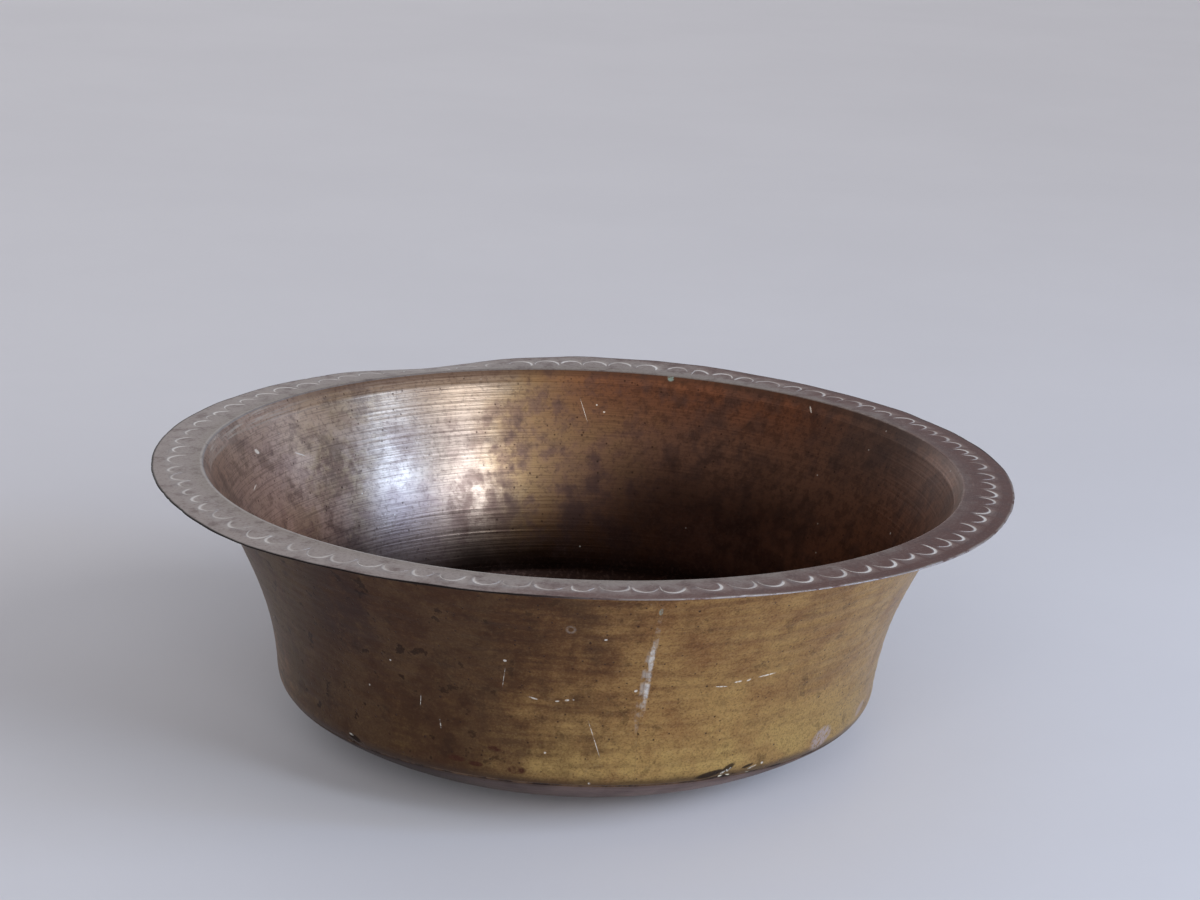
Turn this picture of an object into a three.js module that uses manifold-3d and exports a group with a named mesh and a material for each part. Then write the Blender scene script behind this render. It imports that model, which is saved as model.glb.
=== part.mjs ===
// Copper bowl: a flared wall of sheet closed by a soldered side seam, a dished base soldered
// into the wall's foot, and a flat rim ring soldered onto the wall's flange.
// Millimetres, +Z up. The origin is the middle of the flat underside.
import * as THREE from 'three';
import { mergeVertices } from 'three/addons/utils/BufferGeometryUtils.js';
import Module from 'manifold-3d';

const wasm = await Module();
wasm.setup();

const DEGREES = Math.PI / 180;

// Clearance between two pieces that lie against each other
const FIT_GAP = 0.3;

// Rim ring: flat, with a lip turned down into the mouth. Its slope is the rise per length outwards.
const RIM_RADIUS = 210;
const RIM_WIDTH = 23.5;
const RIM_HEIGHT = 139;
const RIM_SHEET = 1;
const RIM_LIP = 3;
const RIM_SLOPE = -0.0255;

// Uneven places of the hammered rim: azimuth and spread in degrees, and the slope they add
const RIM_WAVES = [
  { azimuth: 84, spread: 20, slope: 0.102 },
  { azimuth: 115, spread: 8, slope: -0.153 },
  { azimuth: -138, spread: 9, slope: -0.06 },
  { azimuth: -95, spread: 20, slope: 0.034 },
  { azimuth: -30, spread: 12, slope: -0.06 },
];

// Wall band: leans are measured from the upright, pulls shape the flare between them
const WALL_SHEET = 1.2;
const FLANGE_WIDTH = 11;
const FLANGE_BEND = 3;
const FLARE_LEAN = 25.5;
const FLARE_PULL = 45;
const FOOT_RADIUS = 148.6;
const FOOT_LEAN = 4.5;
const FOOT_PULL = 40;

// Side seam: an upright slit in the wall, filled with solder
const SIDE_SEAM_AZIMUTH = -78.4;
const SIDE_SEAM_WIDTH = 3;

// Base pan: a flat disc, a shallow dish, a tight bend and a collar inside the wall's foot
const BASE_SHEET = 1.2;
const FLAT_RADIUS = 66;
const DISH_SLOPE = 36;
const EDGE_BEND = 14;
const COLLAR_HEIGHT = 9;

// Base seam: where the wall ends on the edge bend, and the width of the solder below it
const BASE_SEAM_LEAN = 34;
const BASE_SEAM_WIDTH = 1.8;

// Rim seam: the leg of the solder fillet along the flange's edge
const RIM_FILLET = 1.5;

// Facets round the bowl, and steps along each curve of the profile
const FACETS = 72;
const STEPS = { rim: 2, bend: 3, wall: 8, edge: 4, dish: 5, flat: 1 };

const MOUTH_RADIUS = RIM_RADIUS - RIM_WIDTH;
const FLANGE_UNDERSIDE = RIM_HEIGHT - RIM_SHEET - FIT_GAP - WALL_SHEET;

// Profile of the bowl's outer face, from the rim's edge inwards and down to the axis.
// x is the radius and y the height.
function arc(centre, radius, start, end) {
  return new THREE.EllipseCurve(centre.x, centre.y, radius, radius, start, end, end < start);
}

function downwards(lean) {
  return new THREE.Vector2(-Math.sin(lean), -Math.cos(lean));
}

function outerProfile() {
  const flare = FLARE_LEAN * DEGREES;
  const foot = FOOT_LEAN * DEGREES;
  const slope = DISH_SLOPE * DEGREES;
  const edgeEnd = Math.PI / 2 - slope;

  const bendCentre = new THREE.Vector2(MOUTH_RADIUS, FLANGE_UNDERSIDE - FLANGE_BEND);
  const bend = arc(bendCentre, FLANGE_BEND, Math.PI / 2, Math.PI - flare);

  const edgeX = FOOT_RADIUS - EDGE_BEND * Math.cos(foot);
  const dishRadius = (edgeX + EDGE_BEND * Math.cos(edgeEnd) - FLAT_RADIUS) / Math.sin(slope);
  const edgeY = dishRadius * (1 - Math.cos(slope)) + EDGE_BEND * Math.sin(edgeEnd);
  const edge = arc(new THREE.Vector2(edgeX, edgeY), EDGE_BEND, -foot, -edgeEnd);
  const dish = arc(new THREE.Vector2(FLAT_RADIUS, dishRadius), dishRadius, slope - Math.PI / 2, -Math.PI / 2);

  const wallTop = bend.getPoint(1);
  const wallFoot = edge.getPoint(0);
  const wall = new THREE.CubicBezierCurve(
    wallTop,
    downwards(flare).multiplyScalar(FLARE_PULL).add(wallTop),
    downwards(foot).multiplyScalar(-FOOT_PULL).add(wallFoot),
    wallFoot,
  );

  const path = new THREE.CurvePath();
  path.add(new THREE.LineCurve(new THREE.Vector2(RIM_RADIUS, FLANGE_UNDERSIDE), bend.getPoint(0)));
  path.add(bend);
  path.add(wall);
  path.add(edge);
  path.add(dish);
  path.add(new THREE.LineCurve(new THREE.Vector2(FLAT_RADIUS, 0), new THREE.Vector2(0, 0)));
  return path;
}

const profile = outerProfile();
const LENGTH = profile.getLength();

// Distances along the profile at which its curves end, and the stations on each curve
const [RIM_END, BEND_END, WALL_END, EDGE_END] = profile.getCurveLengths();
const grid = [];
Object.values(STEPS).forEach((steps, index) => {
  const ends = [0, ...profile.getCurveLengths()];
  for (let step = 0; step < steps; step += 1) {
    grid.push(THREE.MathUtils.lerp(ends[index], ends[index + 1], step / steps));
  }
});

const EDGE_TURN = 90 - DISH_SLOPE - FOOT_LEAN;
const BASE_SEAM_START = THREE.MathUtils.lerp(WALL_END, EDGE_END, (BASE_SEAM_LEAN - FOOT_LEAN) / EDGE_TURN);
const BASE_SEAM_END = BASE_SEAM_START + BASE_SEAM_WIDTH;

// Points from one distance to another, set off from the outer face towards the inside
function offsetLine(from, to, depth) {
  const margin = FIT_GAP / 2;
  const between = grid.filter((distance) => distance > from + margin && distance < to - margin);
  return [from, ...between, to].map((distance) => {
    const point = profile.getPoint(distance / LENGTH);
    const tangent = profile.getTangent(distance / LENGTH);
    return new THREE.Vector2(point.x + tangent.y * depth, point.y - tangent.x * depth);
  });
}

// Section of a sheet: up its outer face, then down its inner face
function sheetSection(from, to, outerDepth, innerDepth) {
  return [...offsetLine(from, to, outerDepth).reverse(), ...offsetLine(from, to, innerDepth)];
}

function closed(section) {
  return [...section, section[0]];
}

// Height by which the hammered rim stands above or below level at a point
function rimLift(x, y) {
  const azimuth = Math.atan2(y, x) / DEGREES;
  let slope = RIM_SLOPE;
  for (const wave of RIM_WAVES) {
    const turn = THREE.MathUtils.euclideanModulo(azimuth - wave.azimuth + 180, 360) - 180;
    slope += wave.slope * Math.exp(-0.5 * (turn / wave.spread) ** 2);
  }
  return slope * Math.max(0, Math.hypot(x, y) - MOUTH_RADIUS);
}

// A section turned round the axis, stood upright and hammered uneven at the rim
function turned(section) {
  const geometry = new THREE.LatheGeometry(section, FACETS);
  geometry.rotateX(Math.PI / 2);
  const position = geometry.attributes.position;
  for (let i = 0; i < position.count; i += 1) {
    position.setZ(i, position.getZ(i) + rimLift(position.getX(i), position.getY(i)));
  }
  geometry.deleteAttribute('normal');
  geometry.deleteAttribute('uv');
  return mergeVertices(geometry, 1e-4);
}

function solid(geometry) {
  const { position } = geometry.attributes;
  return new wasm.Manifold(new wasm.Mesh({
    numProp: 3,
    vertProperties: Float32Array.from(position.array),
    triVerts: Uint32Array.from(geometry.index.array),
  }));
}

function geometryOf(manifold) {
  const mesh = manifold.getMesh();
  const geometry = new THREE.BufferGeometry();
  geometry.setAttribute('position', new THREE.BufferAttribute(mesh.vertProperties, 3));
  geometry.setIndex(new THREE.BufferAttribute(mesh.triVerts, 1));
  return geometry;
}

const bowl = new THREE.Group();

function addPart(name, geometry, color, roughness) {
  geometry.computeVertexNormals();
  const material = new THREE.MeshStandardMaterial({ color, roughness, metalness: 1 });
  const mesh = new THREE.Mesh(geometry, material);
  mesh.name = name;
  bowl.add(mesh);
}

// Upright slab through the axis side of the seam, as wide as asked
function seamSlab(width) {
  const slab = new THREE.BoxGeometry(RIM_RADIUS, width, 2 * RIM_HEIGHT);
  slab.translate(RIM_RADIUS / 2, 0, RIM_HEIGHT / 2);
  slab.rotateZ(SIDE_SEAM_AZIMUTH * DEGREES);
  slab.deleteAttribute('normal');
  slab.deleteAttribute('uv');
  return solid(mergeVertices(slab, 1e-4));
}

// Wall band and the solder in its side seam
const flangeStart = RIM_END - FLANGE_WIDTH;
const wallRing = solid(turned(closed(sheetSection(flangeStart, BASE_SEAM_START, 0, WALL_SHEET))));
addPart('wall_band', geometryOf(wallRing.subtract(seamSlab(SIDE_SEAM_WIDTH))), '#8a6a47', 0.4);
const sideSolder = wallRing.intersect(seamSlab(SIDE_SEAM_WIDTH - 2 * FIT_GAP));
addPart('side_seam_solder', geometryOf(sideSolder), '#a9a394', 0.55);

// Base pan: its outer face runs on from the wall's, and its collar steps inside the wall's foot
const collarDepth = WALL_SHEET + FIT_GAP;
const collarTop = BASE_SEAM_START - COLLAR_HEIGHT;
const stepEnd = BASE_SEAM_END + BASE_SHEET;
addPart('base_pan', turned([
  ...offsetLine(BASE_SEAM_END, LENGTH, 0).reverse(),
  ...sheetSection(collarTop, BASE_SEAM_END, collarDepth, collarDepth + BASE_SHEET),
  ...offsetLine(stepEnd, LENGTH, BASE_SHEET),
]), '#7d6152', 0.5);

// Base seam solder: a ring that fills the groove between the wall's foot and the base
const grooveSection = sheetSection(BASE_SEAM_START + FIT_GAP, BASE_SEAM_END - FIT_GAP, 0, WALL_SHEET);
addPart('base_seam_solder', turned(closed(grooveSection)), '#5d4c42', 0.6);

// Rim ring: lies on the flange and its bend, and reaches past the flange to the bowl's edge
const rimDepth = WALL_SHEET + FIT_GAP;
const rimSection = sheetSection(0, BEND_END + RIM_LIP, rimDepth, rimDepth + RIM_SHEET);
addPart('rim_ring', turned(closed(rimSection)), '#877a7b', 0.5);

// Rim seam solder: a fillet in the corner of the flange's edge and the rim's underside
const filletRadius = MOUTH_RADIUS + FLANGE_WIDTH + FIT_GAP;
const filletTop = FLANGE_UNDERSIDE + WALL_SHEET;
addPart('rim_seam_solder', turned(closed([
  new THREE.Vector2(filletRadius, filletTop - RIM_FILLET),
  new THREE.Vector2(filletRadius + RIM_FILLET, filletTop),
  new THREE.Vector2(filletRadius, filletTop),
])), '#8f8a80', 0.6);

export default bowl;
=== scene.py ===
# Copper bowl: the finished surfaces of every piece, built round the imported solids.
import math

import bpy
import numpy as np
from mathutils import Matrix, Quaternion, Vector


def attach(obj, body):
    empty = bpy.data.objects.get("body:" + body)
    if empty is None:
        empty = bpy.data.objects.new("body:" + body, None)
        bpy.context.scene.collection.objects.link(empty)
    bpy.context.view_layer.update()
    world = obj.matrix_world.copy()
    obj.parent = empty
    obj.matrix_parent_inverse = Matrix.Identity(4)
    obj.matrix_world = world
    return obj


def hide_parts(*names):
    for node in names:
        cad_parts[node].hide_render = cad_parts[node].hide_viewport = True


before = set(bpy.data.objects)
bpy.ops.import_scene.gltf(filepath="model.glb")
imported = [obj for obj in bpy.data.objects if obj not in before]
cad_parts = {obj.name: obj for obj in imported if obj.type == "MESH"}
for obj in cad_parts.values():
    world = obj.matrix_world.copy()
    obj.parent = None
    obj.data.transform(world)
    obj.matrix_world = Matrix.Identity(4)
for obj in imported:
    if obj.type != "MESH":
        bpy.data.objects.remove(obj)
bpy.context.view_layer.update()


# Wall band
# The flared wall is one band of copper sheet, hammered outside in level rows and scraped inside in
# level strokes. Its foot turns in over the base, and its top is folded out to a narrow flange.

# Sizes in millimetres, the same as in the solids
MILLIMETRE = 0.001
RIM_RADIUS = 210.0
RIM_WIDTH = 23.5
RIM_HEIGHT = 139.0
RIM_SHEET = 1.0
SEAM_GAP = 0.3
WALL_SHEET = 1.2
FLANGE_WIDTH = 11.0
FLANGE_BEND = 3.0
FLARE_LEAN = math.radians(25.5)
FLARE_PULL = 45.0
FOOT_RADIUS = 148.6
FOOT_LEAN = math.radians(4.5)
FOOT_PULL = 40.0
EDGE_BEND = 14.0
DISH_SLOPE = math.radians(36)
FLAT_RADIUS = 66.0
SIDE_SEAM_AZIMUTH = math.radians(-78.4)
SIDE_SEAM_WIDTH = 3.0
BASE_SEAM_LEAN = math.radians(34)
RIM_LIP = 3.0
MOUTH_RADIUS = RIM_RADIUS - RIM_WIDTH
RIM_SLOPE = -0.0255
FLANGE_UNDERSIDE = RIM_HEIGHT - RIM_SHEET - SEAM_GAP - WALL_SHEET

# The sheet's thin fold, the room between two finished pieces and the depths of the beating
FOLDED_SHEET = 0.55
PIECE_CLEARANCE = 0.02
WAVER_DEPTH = 0.28
RIPPLE_DEPTH = 0.11
CALMER_AT_LEFT = 0.06
OUTSIDE_MARK_DEPTH = 0.05
INSIDE_MARK_DEPTH = 0.01
SHARP_EDGE = math.radians(50)

# Points on each curve of the profile, and columns of points round the band
FLANGE_POINTS = 20
BEND_POINTS = 60
FLARE_POINTS = 400
EDGE_POINTS = 120
DISH_POINTS = 300
FLAT_POINTS = 60
WALL_COLUMNS = 600


def arc(centre, radius, start, end, count):
    angle = np.linspace(start, end, count)
    return np.array(centre) + radius * np.stack([np.cos(angle), np.sin(angle)], -1)


def pulled_curve(start, start_pull, end_pull, end, count):
    t = np.linspace(0, 1, count)[:, None]
    return ((1 - t) ** 3 * start + 3 * (1 - t) ** 2 * t * (start + start_pull)
            + 3 * (1 - t) * t ** 2 * (end + end_pull) + t ** 3 * end)


def downwards(lean):
    return np.array([-math.sin(lean), -math.cos(lean)])


# Radius and height of the bowl's outer face, from the rim's edge inwards and down to the axis
edge_x = FOOT_RADIUS - EDGE_BEND * math.cos(FOOT_LEAN)
edge_end = math.pi / 2 - DISH_SLOPE
dish_radius = (edge_x + EDGE_BEND * math.cos(edge_end) - FLAT_RADIUS) / math.sin(DISH_SLOPE)
edge_y = dish_radius * (1 - math.cos(DISH_SLOPE)) + EDGE_BEND * math.sin(edge_end)
bend_centre = (MOUTH_RADIUS, FLANGE_UNDERSIDE - FLANGE_BEND)
bend = arc(bend_centre, FLANGE_BEND, math.pi / 2, math.pi - FLARE_LEAN, BEND_POINTS)
edge = arc((edge_x, edge_y), EDGE_BEND, -FOOT_LEAN, -edge_end, EDGE_POINTS)
dish = arc((FLAT_RADIUS, dish_radius), dish_radius, DISH_SLOPE - math.pi / 2, -math.pi / 2, DISH_POINTS)
flare = pulled_curve(bend[-1], FLARE_PULL * downwards(FLARE_LEAN),
                     -FOOT_PULL * downwards(FOOT_LEAN), edge[0], FLARE_POINTS)
flange = np.linspace((RIM_RADIUS, FLANGE_UNDERSIDE), bend[0], FLANGE_POINTS)
flat = np.linspace((FLAT_RADIUS, 0), (0, 0), FLAT_POINTS)

curves = [flange, bend, flare, edge, dish, flat]
outline = np.concatenate([flange[:1]] + [curve[1:] for curve in curves])
steps = np.diff(outline, axis=0)
step_lengths = np.hypot(*steps.T)
distances = np.concatenate([[0], np.cumsum(step_lengths)])
middles = (distances[1:] + distances[:-1]) / 2
directions = steps / step_lengths[:, None]
curve_ends = distances[np.cumsum([len(curve) - 1 for curve in curves])]
RIM_END, BEND_END, WALL_END, EDGE_END, DISH_END, LENGTH = curve_ends
BASE_SEAM_START = WALL_END + EDGE_BEND * (BASE_SEAM_LEAN - FOOT_LEAN)


def face(along, depth):
    """Radius and height of points along the profile, set in from the outer face by a depth."""
    radius, height = (np.interp(along, distances, outline[:, k]) for k in (0, 1))
    outward, upward = (np.interp(along, middles, directions[:, k]) for k in (0, 1))
    return radius + upward * depth, height - outward * depth


def stations(start, end, pitch):
    """Distances from start to end, about a pitch apart."""
    return np.linspace(start, end, max(2, round(abs(end - start) / pitch) + 1))


def fade(value, low, high):
    """0 below low, 1 above high, and a smooth step between."""
    t = np.clip((value - low) / (high - low), 0, 1)
    return t * t * (3 - 2 * t)


def turn_between(azimuth, other):
    """The short way round from one azimuth to another."""
    return (azimuth - other + math.pi) % (2 * math.pi) - math.pi


def rumple(seed, azimuth, along, turns, pitch, count=14):
    """Uneven beating: a sum of waves round the bowl and along its profile, mostly from -1 to 1."""
    draw = np.random.default_rng(seed)
    total = np.zeros(np.broadcast(azimuth, along).shape)
    for _ in range(count):
        around = draw.integers(-turns, turns + 1)
        rise = draw.uniform(0.3, 1) * 2 * math.pi / pitch
        total += np.sin(around * azimuth + rise * along + draw.uniform(0, 7))
    return total / math.sqrt(count) / 1.4


def hammer_marks(seed, azimuth, along, width, height):
    """0 at the bottom of each shallow hammer mark, up to 1 on the ridges between the marks."""
    draw = np.random.default_rng(seed)
    per_row = round(2 * math.pi * FOOT_RADIUS / width)
    row_count = int(along.max() / height) + 3
    shift = draw.uniform(0, 1, row_count)
    jitter = draw.uniform(-0.32, 0.32, (row_count, per_row, 2))
    row = np.floor(along / height).astype(int)
    nearest = np.full(np.broadcast(azimuth, along).shape, 9.0)
    for row_step in (-1, 0, 1):
        this_row = np.clip(row + row_step, 0, row_count - 1)
        place = (azimuth / (2 * math.pi)) % 1 * per_row + shift[this_row]
        for column_step in (-1, 0, 1):
            column = np.floor(place).astype(int) + column_step
            moved = jitter[this_row, column % per_row]
            across = place - column - 0.5 - moved[..., 0]
            up = along / height - this_row - 0.5 - moved[..., 1]
            nearest = np.minimum(nearest, across ** 2 + up ** 2)
    return np.clip(nearest / 0.5, 0, 1)


def sheet_depth(along):
    """Thickness of the wall's sheet, drawn thin where it is folded out to the flange."""
    stretches = [RIM_END - 5.5, RIM_END, BEND_END, BEND_END + RIM_LIP]
    return np.interp(along, stretches, [WALL_SHEET, FOLDED_SHEET, FOLDED_SHEET, WALL_SHEET - PIECE_CLEARANCE])


def wall_waver(azimuth, along):
    """How far the beaten wall leans in from a true round, nothing at its two soldered ends."""
    free = fade(along, BEND_END + 4, BEND_END + 30) * (1 - fade(along, WALL_END - 22, WALL_END - 2))
    return free * WAVER_DEPTH * rumple(11, azimuth, along, turns=9, pitch=90)


# Knocks on the foot: azimuth in degrees, distance above the base seam, width, height and depth
FOOT_KNOCKS = [(-62.0, 1.2, 7.0, 3.2, 0.9), (-133.9, 0.6, 3.6, 1.8, 0.8), (-38.5, 4.5, 6.0, 4.0, 0.35),
               (-22.0, 6.5, 8.0, 4.0, 0.3), (38.0, 2.0, 8.0, 4.0, 0.6), (151.0, 3.0, 6.0, 4.0, 0.5)]


def foot_knocks(azimuth, along):
    total = np.zeros(np.broadcast(azimuth, along).shape)
    for at_azimuth, above, width, height, depth in FOOT_KNOCKS:
        across = turn_between(azimuth, math.radians(at_azimuth)) * FOOT_RADIUS / width
        up = (along - BASE_SEAM_START + above) / height
        total += depth * np.exp(-across ** 2 - up ** 2)
    return total


# Uneven places of the beaten rim: azimuth and spread in degrees, and the slope they add
RIM_WAVES = [(84, 20, 0.102), (115, 8, -0.153), (-138, 9, -0.06), (-95, 20, 0.034), (-30, 12, -0.06)]


def rim_lift(azimuth, radius):
    """Height by which the rim stands above or below level."""
    slope = RIM_SLOPE
    for at, spread, added in RIM_WAVES:
        turned = np.degrees(turn_between(azimuth, math.radians(at)))
        slope = slope + added * np.exp(-0.5 * (turned / spread) ** 2)
    return slope * np.maximum(0, radius - MOUTH_RADIUS)


def grid_faces(rows, columns, closed_rows=False, closed_columns=False):
    """Four-sided faces of a grid of points, whose rows or columns may close on themselves."""
    row = np.arange(rows if closed_rows else rows - 1)[:, None]
    column = np.arange(columns if closed_columns else columns - 1)[None, :]
    next_row = (row + 1) % rows
    next_column = (column + 1) % columns
    corners = [row * columns + column, next_row * columns + column,
               next_row * columns + next_column, row * columns + next_column]
    return np.stack(corners, -1).reshape(-1, 4)


def upright(azimuth, radius, height):
    """Points in millimetres from azimuth, radius and height."""
    return np.stack(np.broadcast_arrays(radius * np.cos(azimuth), radius * np.sin(azimuth), height), -1)


def make_piece(name, points, faces, finishes, finish_of_face=None, **layers):
    """A smooth piece from points in millimetres, with its finishes and layers of values per point."""
    mesh = bpy.data.meshes.new(name)
    mesh.from_pydata((points.reshape(-1, 3) * MILLIMETRE).tolist(), [], [list(map(int, f)) for f in faces])
    for layer, values in layers.items():
        attribute = mesh.attributes.new(layer, "FLOAT", "POINT")
        attribute.data.foreach_set("value", np.ascontiguousarray(values, np.float32).ravel())
    for finish in finishes:
        mesh.materials.append(finish)
    if finish_of_face is not None:
        mesh.polygons.foreach_set("material_index", np.ascontiguousarray(finish_of_face, np.int32))
    mesh.shade_smooth()
    mesh.set_sharp_from_angle(angle=SHARP_EDGE)
    piece = bpy.data.objects.new(name, mesh)
    bpy.context.scene.collection.objects.link(piece)
    return piece


class Shade:
    """A socket of a finish's node tree that is reckoned with like a number."""

    def __init__(self, tree, socket=None):
        self.tree = tree
        self.socket = socket

    def node(self, kind, sockets=None, settings=None, out=0):
        """Adds a node: first its settings, then the values or links of its sockets."""
        added = self.tree.nodes.new("ShaderNode" + kind)
        for name, value in (settings or {}).items():
            setattr(added, name, value)
        for name, value in (sockets or {}).items():
            socket = added.inputs[name]
            if isinstance(value, Shade):
                self.tree.links.new(value.socket, socket)
            elif socket.type == "RGBA":
                socket.default_value = (*value, 1)
            else:
                socket.default_value = value
        return Shade(self.tree, added.outputs[out] if len(added.outputs) else None)

    def math(self, operation, *values):
        return self.node("Math", dict(enumerate(values)), {"operation": operation})

    def __add__(self, other):
        return self.math("ADD", self, other)

    def __sub__(self, other):
        return self.math("SUBTRACT", self, other)

    def __rsub__(self, other):
        return self.math("SUBTRACT", other, self)

    def __mul__(self, other):
        return self.math("MULTIPLY", self, other)

    def __truediv__(self, other):
        return self.math("DIVIDE", self, other)

    __radd__ = __add__
    __rmul__ = __mul__

    def step(self, low, high):
        """0 at low, 1 at high and a smooth step between; low may be the larger of the two."""
        ends = {"Value": self, "From Min": low, "From Max": high}
        return self.node("MapRange", ends, {"interpolation_type": "SMOOTHSTEP"})

    def mixed(self, start, end):
        """One colour where this is 0 and another where it is 1."""
        return self.node("Mix", {0: self, 6: start, 7: end}, {"data_type": "RGBA"}, out=2)

    def coated(self, *coats):
        """This colour with further ones laid over it, each given after the share that it covers."""
        colour = self
        for share, over in coats:
            colour = share.mixed(colour, over)
        return colour

    def towards(self, degrees):
        """1 where this azimuth is the one in degrees, down to -1 on the far side."""
        return self.math("COSINE", self - math.radians(degrees))

    def layer(self, name):
        """A layer of values that the mesh holds at its points."""
        return self.node("Attribute", settings={"attribute_name": name}, out="Fac")

    def noise(self, scale, detail=4.0, roughness=0.55):
        """Cloudy values about 0.5 at this place."""
        values = {"Vector": self, "Scale": scale, "Detail": detail, "Roughness": roughness}
        return self.node("TexNoise", values)

    def specks(self, scale, share, size):
        """1 in small round specks, in a share of the cells of a loose pattern at this place."""
        distance = self.node("TexVoronoi", {"Vector": self, "Scale": scale})
        chance = self.node("TexVoronoi", {"Vector": self, "Scale": scale}, out=1)
        red = self.node("SeparateColor", {0: chance})
        return distance.step(size, size * 0.4) * red.step(1 - share, 1.01 - share)


def new_finish(name):
    finish = bpy.data.materials.new(name)
    finish.use_nodes = True
    finish.node_tree.nodes.clear()
    return finish, Shade(finish.node_tree)


def metal(shade, colour, metallic, roughness, height, depth):
    """The shader of a metal face whose finest unevenness has a height pattern and a depth in metres."""
    normal = shade.node("Bump", {"Height": height, "Distance": depth, "Strength": 1.0})
    surface = {"Base Color": colour, "Metallic": metallic, "Roughness": roughness, "Normal": normal}
    shader = shade.node("BsdfPrincipled", surface)
    shade.node("OutputMaterial", {"Surface": shader})


def bowl_places(shade):
    """Place in metres, its x, the height in millimetres and the azimuth of a point of the bowl."""
    place = shade.node("TexCoord", out="Object")
    x, y, z = (shade.node("SeparateXYZ", {0: place}, out=axis) for axis in range(3))
    return place, x, z / MILLIMETRE, shade.math("ARCTAN2", y, x)


def level_place(shade, length):
    """A place in millimetres along the profile, drawn out level so many times as long."""
    place = shade.node("TexCoord", out="Object")
    x, y = (shade.node("SeparateXYZ", {0: place}, out=axis) / (length * MILLIMETRE) for axis in range(2))
    return shade.node("CombineXYZ", {0: x, 1: y, 2: shade.layer("along")})


def oval(azimuth, height, at_azimuth, at_height, length, width, tilt=0.0):
    """1 in a small oval mark on the wall, placed by azimuth and tilt in degrees and by height."""
    across = (azimuth - math.radians(at_azimuth)) * (FOOT_RADIUS + 0.2 * max(0, at_height - 40))
    up = height - at_height
    cosine = math.cos(math.radians(tilt))
    sine = math.sin(math.radians(tilt))
    lengthways = (across * cosine + up * sine) / (length / 2)
    widthways = (up * cosine - across * sine) / (width / 2)
    return (lengthways * lengthways + widthways * widthways).step(1.5, 0.5)


def ovals(azimuth, height, marks):
    return [oval(azimuth, height, *mark) for mark in marks]


def most(marks):
    """The highest of several masks at each place."""
    total = marks[0]
    for other in marks[1:]:
        total = total.math("MAXIMUM", total, other)
    return total


# Colours of the tarnished wall outside, from the bare metal up to what lies on it
GOLDEN = (0.61, 0.385, 0.142)
BROWN = (0.27, 0.114, 0.050)
RUDDY_BROWN = (0.27, 0.105, 0.046)
RUBBED_GOLD = (0.62, 0.43, 0.15)
DARK_BROWN = (0.078, 0.039, 0.023)
PALER_BROWN = (0.16, 0.094, 0.048)
SMOKE = (0.05, 0.029, 0.029)
OLIVE_BROWN = (0.20, 0.145, 0.085)
BAND_BROWN = (0.14, 0.07, 0.04)
OXBLOOD = (0.085, 0.03, 0.02)
DARK_FLECK = (0.075, 0.038, 0.025)
FAIR_FLECK = (0.62, 0.40, 0.17)
DARK_GRAIN = (0.09, 0.044, 0.027)
FAIR_GRAIN = (0.62, 0.41, 0.18)
BLOTCH = (0.05, 0.027, 0.02)
FLAW = (0.03, 0.015, 0.011)
DARK_DUST = (0.09, 0.046, 0.028)
FAIR_DUST = (0.58, 0.44, 0.25)
FOOT_BROWN = (0.085, 0.048, 0.03)
UMBER = (0.06, 0.032, 0.024)
WORN_PINK = (0.62, 0.51, 0.48)
KNOCK_SHADE_BROWN = (0.04, 0.027, 0.024)
SMEARED_SOLDER = (0.50, 0.50, 0.49)
CHALK = (0.72, 0.69, 0.62)
VERDIGRIS = (0.27, 0.38, 0.33)

# Marks outside: azimuth in degrees, height, length, width and, where it has one, tilt in degrees
PALE_SCRAPES = [(-62.4, 78.6, 3.6, 0.9, 4), (-60.4, 78.7, 2.2, 1.0, 20), (-56.9, 79.7, 9.0, 0.8, 4),
                (-65.4, 77.1, 6.0, 0.6, -6), (-96.8, 72.3, 4.6, 0.8, -14), (-92.8, 71.6, 1.8, 0.8, 8),
                (-91.2, 72.4, 2.0, 1.0, 10), (-90.2, 72.7, 1.0, 0.8, 0), (-86.4, 52.5, 18.0, 0.35, -72),
                (-113.5, 52.2, 4.6, 0.5, -86), (-101.5, 82.0, 10.0, 0.3, 80), (-85.7, 106.3, 1.4, 1.0, 0),
                (-101.1, 91.3, 1.5, 1.3, 0), (-121.8, 80.4, 0.9, 0.9, 0), (-127.7, 63.2, 0.9, 0.9, 0),
                (-80.1, 77.9, 1.6, 1.2, 30), (-94.7, 44.4, 1.1, 1.1, 0), (-117.0, 62.5, 6.0, 0.35, 80),
                (20.0, 88.0, 7.0, 0.6, 12), (64.0, 61.0, 4.0, 0.7, -20), (128.0, 95.0, 9.0, 0.4, 65),
                (170.0, 52.0, 5.0, 0.7, 8), (-160.0, 70.0, 3.0, 0.5, 40)]

# Dark red stains near the foot, and painted shade in and round two knocks
DARK_STAINS = [(-110.6, 36.2, 8.0, 3.0), (-107.0, 35.0, 7.0, 2.4), (-99.6, 34.6, 8.0, 4.4),
               (-103.5, 44.0, 7.0, 3.0), (75.0, 40.0, 16.0, 5.0)]
KNOCK_SHADE = [(-64.6, 30.8, 15.0, 3.4, 9.2), (-61.2, 32.8, 7.0, 3.4, 34.4), (-133.1, 31.5, 7.5, 3.4, -8.6),
              (-57.0, 32.0, 6.0, 1.6, 11.5)]

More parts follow.
